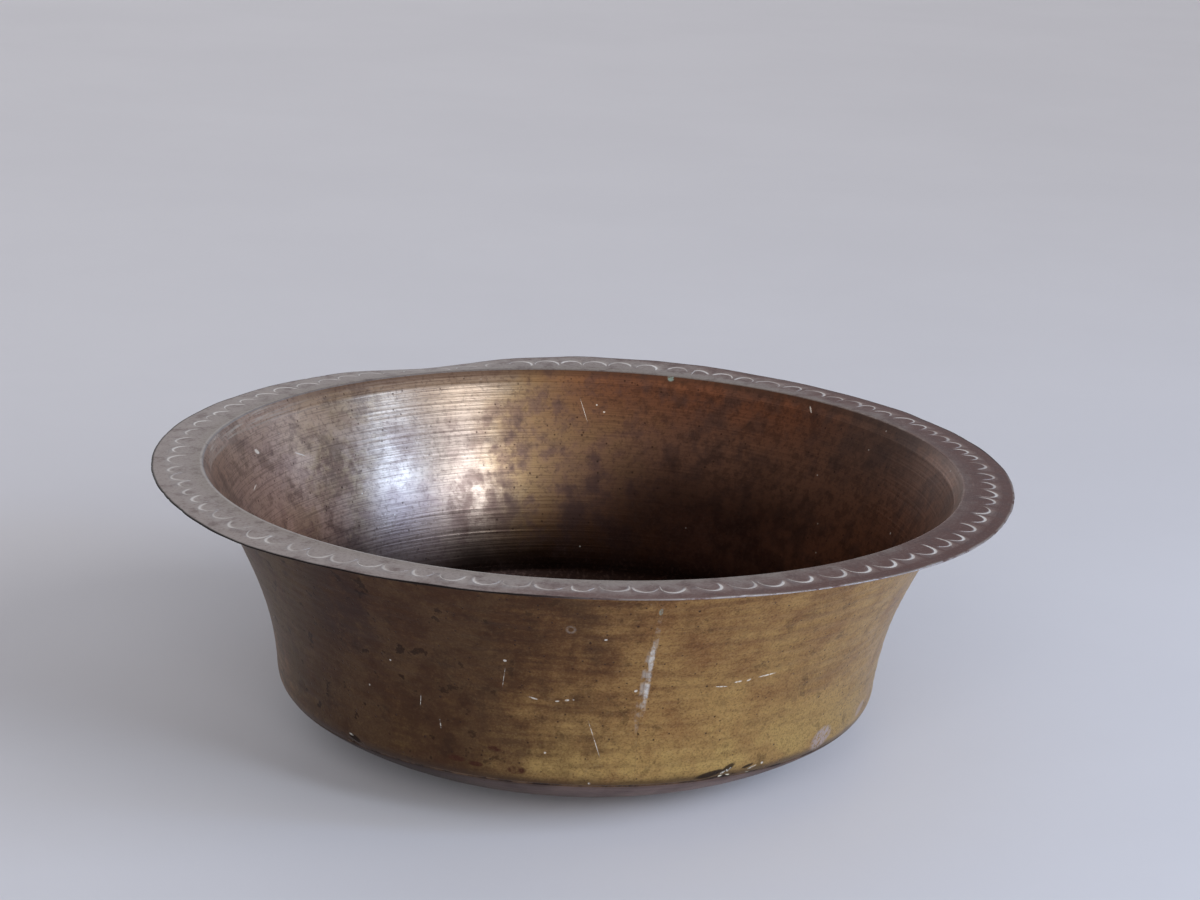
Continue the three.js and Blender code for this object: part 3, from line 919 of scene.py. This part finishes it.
draw = np.random.default_rng(63)
pitches = draw.uniform(0.74, 1.28, CRESCENTS)
pitches[draw.choice(CRESCENTS, 9, replace=False)] *= 1.18
cell_edges = np.radians(-180) + np.concatenate([[0], np.cumsum(pitches)]) / pitches.sum() * 2 * math.pi
rim_columns = CRESCENTS * CELL_STEPS
cell_share = np.arange(CELL_STEPS) / CELL_STEPS
rim_azimuth = (cell_edges[:-1, None] + np.diff(cell_edges)[:, None] * cell_share).reshape(1, -1)

nick_at = draw.uniform(-math.pi, math.pi, NICKS)
nick_width = draw.uniform(0.4, 1.6, NICKS)
nick_depth = draw.uniform(0.05, 0.35, NICKS)
nicks = np.zeros(rim_azimuth.shape)
for at, width, depth in zip(nick_at, nick_width, nick_depth):
    nicks += depth * np.exp(-(turn_between(rim_azimuth, at) * RIM_RADIUS / width) ** 2)
edge_waves = np.clip(rumple(64, rim_azimuth, 0, turns=60, pitch=1.0), -1, 1)
nicks = np.minimum(nicks, 0.6) + 0.12 * (1 + edge_waves)


def fold(corner, lip, round_off):
    """Radius and height up the lip, round the corner of the mouth and on to the rim's face."""
    up = np.array(corner) - lip
    slope = math.atan2(up[1], up[0])
    cut = round_off * math.tan(slope / 2)
    last = corner - cut * up / np.hypot(*up)
    centre = (corner[0] + cut, corner[1] - round_off)
    turned = arc(centre, round_off, slope + math.pi / 2, math.pi / 2, 9)
    return np.concatenate([np.linspace(lip, last, 16)[:-1], turned])


lip_end = BEND_END + RIM_LIP
rim_rows = [(along, RIM_TOP) for along in stations(RIM_RADIUS - CELL_OUTER, 1.6 * EDGE_ROUND, 0.8)]
edge_rows = len(rim_rows) - 1 + np.arange(len(EDGE_TURNS) + 1)
sheet_middle = (RIM_TOP + RIM_UNDERSIDE) / 2
for turned in EDGE_TURNS:
    rim_rows.append((EDGE_ROUND * (1 - math.sin(turned)), sheet_middle + RIM_SHEET / 2 * math.cos(turned)))
under_rim = np.concatenate([stations(1.6 * EDGE_ROUND, RIM_END - 6, 3.0),
                            stations(RIM_END - 5, lip_end, 0.8)])
stretches = [RIM_END - 6, RIM_END - 0.5, BEND_END, lip_end]
under_depths = np.interp(under_rim, stretches, [RIM_UNDERSIDE, OVER_FOLD, OVER_FOLD, WALL_SHEET + 0.03])
rim_rows += list(zip(under_rim, under_depths))
rim_along, rim_depth = (np.array(column)[:, None] for column in zip(*rim_rows))
rim_radius, rim_height = face(rim_along, rim_depth)
lip_foot = np.array(face(lip_end + 0.05, WALL_SHEET + 0.14))
folded = fold((CORNER_RADIUS, RIM_HEIGHT), lip_foot, CORNER_ROUND)
inner_face = np.linspace(folded[-1], (CELL_INNER, RIM_HEIGHT), 6)[1:]
folded = np.concatenate([folded, inner_face])
rolled = 0.03 * np.sin(2 * math.pi * folded[:, 1:] / 0.8 + rumple(65, rim_azimuth, 0, turns=7, pitch=1.0))
rolled = rolled * (1 - fade(folded[:, 1:], RIM_HEIGHT - 1.5, RIM_HEIGHT - 0.2))
rim_radius = np.broadcast_to(rim_radius, (len(rim_rows), rim_columns))
rim_radius = np.concatenate([rim_radius, folded[:, :1] + rolled])
rim_height = np.concatenate([rim_height, folded[:, 1:]])
facing_up = np.concatenate([rim_depth > RIM_UNDERSIDE + 0.4, np.ones((len(folded), 1))])
folded_along = lip_end - np.cumsum(np.hypot(*np.diff(folded, axis=0, prepend=folded[:1]).T))
rim_along = np.concatenate([rim_along, folded_along[:, None]])
on_lip = folded[:, 1] < RIM_HEIGHT - 0.45 * CORNER_ROUND
row_count = len(rim_along)
at_edge = 1 - fade(rim_along, 0.0, 2.5)
rim_radius = rim_radius - at_edge * nicks
rim_height = rim_height + rim_lift(rim_azimuth, rim_radius) - facing_up * rim_dips(rim_azimuth, rim_radius)
rim_points = [upright(rim_azimuth, rim_radius, rim_height).reshape(-1, 3)]
rim_chased = [np.zeros(row_count * rim_columns)]
rim_edge = np.repeat(np.isin(np.arange(row_count), edge_rows), rim_columns)
rim_distance = [np.repeat(rim_along, rim_columns)]
rim_faces = grid_faces(row_count, rim_columns, closed_columns=True).tolist()
rim_finish = np.repeat(np.concatenate([np.zeros(len(rim_rows) - 1), [1], on_lip[1:]]), rim_columns)
inner_rim_row = (row_count - 1) * rim_columns
point_count = row_count * rim_columns


def rim_face_point(azimuth, radius, relief):
    height = RIM_HEIGHT + rim_lift(azimuth, radius) - rim_dips(azimuth, radius) + relief
    return upright(azimuth, radius, height)


def add_rim_points(azimuth, radius, relief, chased):
    """Adds points on the rim's face and returns the number of the first of them."""
    global point_count
    first = point_count
    rim_points.append(rim_face_point(azimuth, radius, relief))
    rim_chased.append(chased)
    rim_distance.append(RIM_RADIUS - radius)
    point_count += len(chased)
    return first


side_radius = np.linspace(CELL_INNER, CELL_OUTER, SIDE_STEPS + 1)[1:-1]
no_relief = np.zeros(SIDE_STEPS - 1)
side_first = [add_rim_points(np.full(SIDE_STEPS - 1, at), side_radius, no_relief, no_relief)
              for at in cell_edges[:-1]]

for cell in range(CRESCENTS):
    start, end = cell_edges[cell], cell_edges[cell + 1]
    after = (cell + 1) % CRESCENTS
    columns = (cell * CELL_STEPS + np.arange(CELL_STEPS + 1)) % rim_columns
    sides = np.arange(SIDE_STEPS - 1)
    border = np.concatenate([
        [inner_rim_row + columns[0]], side_first[cell] + sides, columns,
        (side_first[after] + sides)[::-1], (inner_rim_row + columns[1:])[::-1]])
    border_azimuth = np.concatenate([
        np.full(SIDE_STEPS, start), np.linspace(start, end, CELL_STEPS + 1),
        np.full(SIDE_STEPS - 1, end), np.linspace(end, start, CELL_STEPS + 1)[:-1]])
    border_radius = np.concatenate([
        [CELL_INNER], side_radius, np.full(CELL_STEPS + 1, CELL_OUTER), side_radius[::-1],
        np.full(CELL_STEPS, CELL_INNER)])

    # One crescent: a half oval open towards the mouth, fatter at the end where the punch was leaned
    middle = (start + end) / 2 + draw.normal(0, 0.0016)
    half_chord = min(CRESCENT_HALF_CHORD * draw.uniform(0.82, 1.06), 0.47 * (end - start) * CRESCENT_FOOT)
    rise = CRESCENT_RISE * draw.uniform(0.86, 1.12)
    tilt = draw.normal(0, 0.17)
    fat_end = 1 if draw.uniform() < 0.5 + 0.45 * math.cos(middle - math.radians(-30)) else -1
    chalk = draw.uniform(0.6, 1.0)
    foot = CRESCENT_FOOT + draw.normal(0, 0.5)
    reach = math.radians(draw.uniform(80, 98))
    depth = CHASED_DEPTH * draw.uniform(0.7, 1.1)
    across = (border_azimuth - middle) * CRESCENT_FOOT
    out = border_radius - foot
    oval_across = (across * math.cos(tilt) + out * math.sin(tilt)) / half_chord
    oval_out = (out * math.cos(tilt) - across * math.sin(tilt)) / rise
    angle = np.arctan2(oval_across, oval_out)
    groove = np.minimum(1 / np.hypot(oval_across, oval_out), 0.93)
    strength = 1 - fade(np.abs(angle), reach - 0.35, reach)
    fat = fade(angle * fat_end, -1.0, 1.0)
    taper = 0.35 + 0.65 * np.cos(np.clip(angle, -1.57, 1.57)) ** 0.6
    width = (CHASED_WIDTH + (CHASED_FAT_WIDTH - CHASED_WIDTH) * fat) * taper / np.hypot(across, out)
    room = 1 - groove
    rings = [
        (groove + np.minimum(1.2 * width, 0.7 * room), BURR, 0.15),
        (groove + np.minimum(0.62 * width, 0.4 * room), -0.75 * depth, 0.9),
        (groove, -depth, 1.0),
        (groove - 0.62 * width, -0.75 * depth, 0.9),
        (groove - 1.2 * width, BURR, 0.15),
        (groove - 2.4 * width, 0.0, 0.0),
        (0.6 * groove, 0.0, 0.0),
        (0.28 * groove, 0.0, 0.0)]
    outer_ring = border
    for share, relief, chased in rings:
        ring_azimuth = middle + (border_azimuth - middle) * share
        ring_radius = foot + out * share
        first = add_rim_points(ring_azimuth, ring_radius, relief * strength, chalk * chased * strength)
        inner_ring = first + np.arange(len(border))
        quads = [outer_ring, np.roll(outer_ring, -1), np.roll(inner_ring, -1), inner_ring]
        rim_faces += np.stack(quads, -1).tolist()
        outer_ring = inner_ring
    centre = add_rim_points(np.array([middle]), np.array([foot]), np.zeros(1), np.zeros(1))
    rim_faces += [[int(a), int(b), centre] for a, b in zip(outer_ring, np.roll(outer_ring, -1))]


def chased_rim():
    finish, shade = new_finish("chased_rim")
    place, x, _, azimuth = bowl_places(shade)
    y = shade.node("SeparateXYZ", {0: place}, out=1)
    radius = shade.math("SQRT", x * x + y * y) / MILLIMETRE
    chased = shade.layer("chased")
    lit_and_shaded_edge = shade.layer("edge")
    clouds = place.noise(16.0, 5.0, 0.6)
    mottle = place.noise(110.0, 6.0, 0.66)
    grain = place.noise(700.0, 3.0, 0.6)
    scratches = level_place(shade, 9.0).noise(1.1, 3.0, 0.65)
    behind = shade.math("MAXIMUM", y, 0.0)
    # Plum-brown towards the right and the front: partly the rim's own tone, partly painted shade for the
    # darker room it mirrors there
    warm = (0.7 * clouds + 0.6 * mottle + 2.2 * x - 0.9 * behind + 0.012 * (radius - 200)).step(0.42, 0.92)
    olive = (radius + 6 * clouds).step(197, 190) * (1 - 0.7 * warm)
    front_right = azimuth.towards(-42).step(0.55, 0.8)
    corner = radius.step(187.2, 186.2) * azimuth.towards(-150).step(0.3, 0.8)
    # Painted shade: the crescents painted dimmer at the front left, away from the windows
    crescent_shade = azimuth.towards(-128).step(0.7, 0.96)
    bright = chased * (0.96 - 0.3 * crescent_shade)
    colour = warm.mixed(RIM_GREY, RIM_PLUM).coated(
        (0.5 * olive, RIM_OLIVE),
        (0.6 * mottle.step(0.5, 0.68), RIM_BROWN),
        (0.4 * grain.step(0.5, 0.72), RIM_DARK_GRAIN),
        (0.35 * grain.step(0.48, 0.3) * (1 - 0.4 * warm), RIM_FAIR_GRAIN),
        (0.4 * scratches.step(0.56, 0.74) * (1 - 0.6 * warm), RIM_SCRATCH),
        # The ring's outer edge: a painted highlight at the front right, which faces the windows, and painted
        # shade elsewhere
        (0.6 * lit_and_shaded_edge * front_right * mottle.step(0.36, 0.5), EDGE_HIGHLIGHT),
        (0.95 * lit_and_shaded_edge * (1 - front_right), EDGE_SHADE),
        # A painted highlight along the corner of the mouth at the front left
        (0.55 * corner * mottle.step(0.36, 0.5), CORNER_HIGHLIGHT),
        (bright, CHASED_WHITE))
    roughness = 0.44 + 0.16 * mottle - 0.06 * chased
    uneven = grain + 0.8 * mottle + 0.6 * scratches
    metal(shade, colour, 1 - 0.55 * bright, roughness, uneven, depth=0.0002)
    return finish


rim_finish = np.concatenate([rim_finish, np.zeros(len(rim_faces) - len(rim_finish))])
rim_piece = make_piece("rim_ring_chased", np.concatenate(rim_points), rim_faces,
                       [chased_rim(), bpy.data.materials["scraped_inside"]], rim_finish,
                       chased=np.concatenate(rim_chased), along=np.concatenate(rim_distance),
                       edge=np.concatenate([rim_edge, np.zeros(point_count - len(rim_edge))]))
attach(rim_piece, "root")
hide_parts("rim_ring")


# Rim seam
# Under the rim a bead of grey solder fills the corner between the flange's edge and the ring.
# It was run in with an iron, so its face is lumpy.

RIM_FILLET = 1.5
FILLET_COLUMNS = 900
FILLET_ROWS = 7
FAIR_SOLDER = (0.34, 0.315, 0.27)
DULL_SOLDER = (0.15, 0.115, 0.085)


def grey_solder():
    finish, shade = new_finish("grey_solder")
    place = shade.node("TexCoord", out="Object")
    mottle = place.noise(90.0, 6.0, 0.65)
    colour = mottle.step(0.38, 0.66).mixed(FAIR_SOLDER, DULL_SOLDER)
    uneven = mottle + 0.5 * place.noise(600.0, 3.0)
    metal(shade, colour, 0.85, 0.45 + 0.2 * mottle, uneven, depth=0.0003)
    return finish


fillet_azimuth = np.linspace(0, 2 * math.pi, FILLET_COLUMNS, endpoint=False)[None, :]
fillet_share = np.linspace(0, 1, FILLET_ROWS)[:, None]
fillet_crown = np.sin(math.pi * fillet_share)
fillet_lumps = 1 + 0.16 * rumple(71, fillet_azimuth, fillet_share, turns=70, pitch=3.0) * fillet_crown
fillet_corner = np.array([MOUTH_RADIUS + FLANGE_WIDTH + PIECE_CLEARANCE,
                          FLANGE_UNDERSIDE + WALL_SHEET + SEAM_GAP / 2])
swell = RIM_FILLET * fillet_lumps * (1 - 0.22 * fillet_crown)
fillet_radius = np.concatenate([fillet_corner[0] + swell * np.cos(math.pi / 2 * fillet_share),
                                np.full((1, FILLET_COLUMNS), fillet_corner[0])])
fillet_height = np.concatenate([fillet_corner[1] - swell * np.sin(math.pi / 2 * fillet_share),
                                np.full((1, FILLET_COLUMNS), fillet_corner[1])])
fillet_height = fillet_height + rim_lift(fillet_azimuth, fillet_radius)
fillet_points = upright(fillet_azimuth, fillet_radius, fillet_height)
fillet_faces = grid_faces(FILLET_ROWS + 1, FILLET_COLUMNS, closed_rows=True, closed_columns=True)
fillet_piece = make_piece("rim_seam_run", fillet_points, fillet_faces, [grey_solder()])
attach(fillet_piece, "root")
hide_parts("rim_seam_solder")


# Table
# A plain top of smooth board, painted a pale cool grey with a wide brush.
# It is wide enough to fill the picture from every side.

TABLE_SPAN = 12.0
PAINT = (0.605, 0.595, 0.635)
FAIR_PAINT = (0.625, 0.615, 0.655)


def pale_paint():
    finish, shade = new_finish("pale_paint")
    place = shade.node("TexCoord", out="Object")
    brushed = place.noise(3.0, 6.0, 0.6)
    colour = brushed.step(0.3, 0.7).mixed(PAINT, FAIR_PAINT)
    shader = shade.node("BsdfPrincipled", {"Base Color": colour, "Roughness": 0.6})
    shade.node("OutputMaterial", {"Surface": shader})
    return finish


half = TABLE_SPAN / 2 / MILLIMETRE
table_corners = np.array([[-half, -half, 0], [half, -half, 0], [half, half, 0], [-half, half, 0]])
table = make_piece("table", table_corners, [[0, 1, 2, 3]], [pale_paint()])


# Light
# Two soft lights come from the right and the front. Three tall windows stand to the right, and shine
# in the metal: a cool one, a warm one and a faint one. The room is pale behind and dim at the front left.

# Soft lights: azimuth, elevation, spread and strength
SOFT_LIGHTS = [("right_soft_light", -24, 27, math.radians(42), 1.35),
               ("front_soft_light", -92, 11, math.radians(60), 2.8)]
WINDOW_DISTANCE = 1.7
BOWL_MIDDLE = Vector((0, 0, 0.09))

# Windows: azimuth, elevation, lean to the side, width, height, colour and power
WINDOWS = [("cool_window", -12.6, 20.5, 0, 0.19, 0.57, (0.36, 0.60, 1.0), 6.8),
           ("warm_window", -44.4, 25.2, 24, 0.36, 0.54, (0.67, 0.83, 1.0), 7.9),
           ("sky_window", 27, 18, 0, 0.16, 0.5, (0.5, 0.7, 1.0), 0.6)]


def way_to(azimuth, elevation):
    level_way = math.cos(math.radians(elevation))
    return Vector((level_way * math.cos(math.radians(azimuth)), level_way * math.sin(math.radians(azimuth)),
                   math.sin(math.radians(elevation))))


def hang_light(lamp, way, lean=0.0):
    """Puts a lamp in a direction from the bowl, facing it and leaned to the side in degrees."""
    light = bpy.data.objects.new(lamp.name, lamp)
    bpy.context.scene.collection.objects.link(light)
    light.location = BOWL_MIDDLE + WINDOW_DISTANCE * way
    facing = (-way).to_track_quat("-Z", "Y")
    light.rotation_euler = (facing @ Quaternion((0, 0, 1), math.radians(lean))).to_euler()
    light.visible_camera = False
    return light


for name, azimuth, elevation, spread, strength in SOFT_LIGHTS:
    lamp = bpy.data.lights.new(name, "SUN")
    lamp.angle = spread
    lamp.energy = strength
    hang_light(lamp, way_to(azimuth, elevation)).visible_glossy = False

for name, azimuth, elevation, lean, width, height, colour, power in WINDOWS:
    lamp = bpy.data.lights.new(name, "AREA")
    lamp.shape = "RECTANGLE"
    lamp.size = width
    lamp.size_y = height
    lamp.color = colour
    lamp.energy = power
    hang_light(lamp, way_to(azimuth, elevation), lean)

PALE_ROOM = (0.77, 0.78, 0.80)
LIT_ROOM = (0.40, 0.43, 0.50)
FILL_LIGHT = (0.37, 0.37, 0.385)
DIM_ROOM = (0.09, 0.085, 0.085)
CEILING = (0.46, 0.43, 0.40)
PALE_WALL_RIGHT = np.radians([76, 96])
PALE_WALL_LEFT = np.radians([140, 122])
room_world = bpy.data.worlds.new("room")
room_world.use_nodes = True
room_world.node_tree.nodes.clear()
bpy.context.scene.world = room_world
room = Shade(room_world.node_tree)
way_out = room.node("TexCoord", out="Generated")
rightwards = room.node("SeparateXYZ", {0: way_out}, out=0)
backwards = room.node("SeparateXYZ", {0: way_out}, out=1)
azimuth = room.math("ARCTAN2", backwards, rightwards)
pale_wall = azimuth.step(*PALE_WALL_RIGHT) * azimuth.step(*PALE_WALL_LEFT)
ceiling = 0.75 * room.node("SeparateXYZ", {0: way_out}, out=2).step(0.46, 0.8)
around_bowl = rightwards.step(-0.5, 0.7).mixed(DIM_ROOM, LIT_ROOM)
around_bowl = ceiling.mixed(around_bowl, CEILING)
around_bowl = pale_wall.mixed(around_bowl, PALE_ROOM)
in_metal = room.node("LightPath", out="Is Glossy Ray")
seen = room.node("LightPath", out="Is Camera Ray")
room_light = in_metal.mixed(seen.mixed(FILL_LIGHT, PALE_ROOM), around_bowl)
light = room.node("Background", {"Color": room_light, "Strength": 1.0})
room.node("OutputWorld", {"Surface": light})


# Camera
# A camera stands in front of the bowl and above it, where the picture of it was taken.
# Its lens is a long one, and it is turned a little about its own axis.

CAMERA_PLACE = Vector((0.0, -1.31306, 0.51137))
CAMERA_TARGET = Vector((0.00763, 0.0, 0.14473))
CAMERA_ROLL = math.radians(2.391)
PICTURE_WIDTH = 1200
FOCAL_PIXELS = 2780.34
SENSOR_WIDTH = 36.0

lens = bpy.data.cameras.new("camera")
lens.sensor_fit = "HORIZONTAL"
lens.sensor_width = SENSOR_WIDTH
lens.lens = FOCAL_PIXELS / PICTURE_WIDTH * SENSOR_WIDTH
camera = bpy.data.objects.new("camera", lens)
bpy.context.scene.collection.objects.link(camera)
camera.location = CAMERA_PLACE
looking = (CAMERA_TARGET - CAMERA_PLACE).to_track_quat("-Z", "Y")
camera.rotation_euler = (looking @ Quaternion((0, 0, 1), CAMERA_ROLL)).to_euler()
bpy.context.scene.camera = camera
bpy.context.scene.view_settings.view_transform = "Standard"
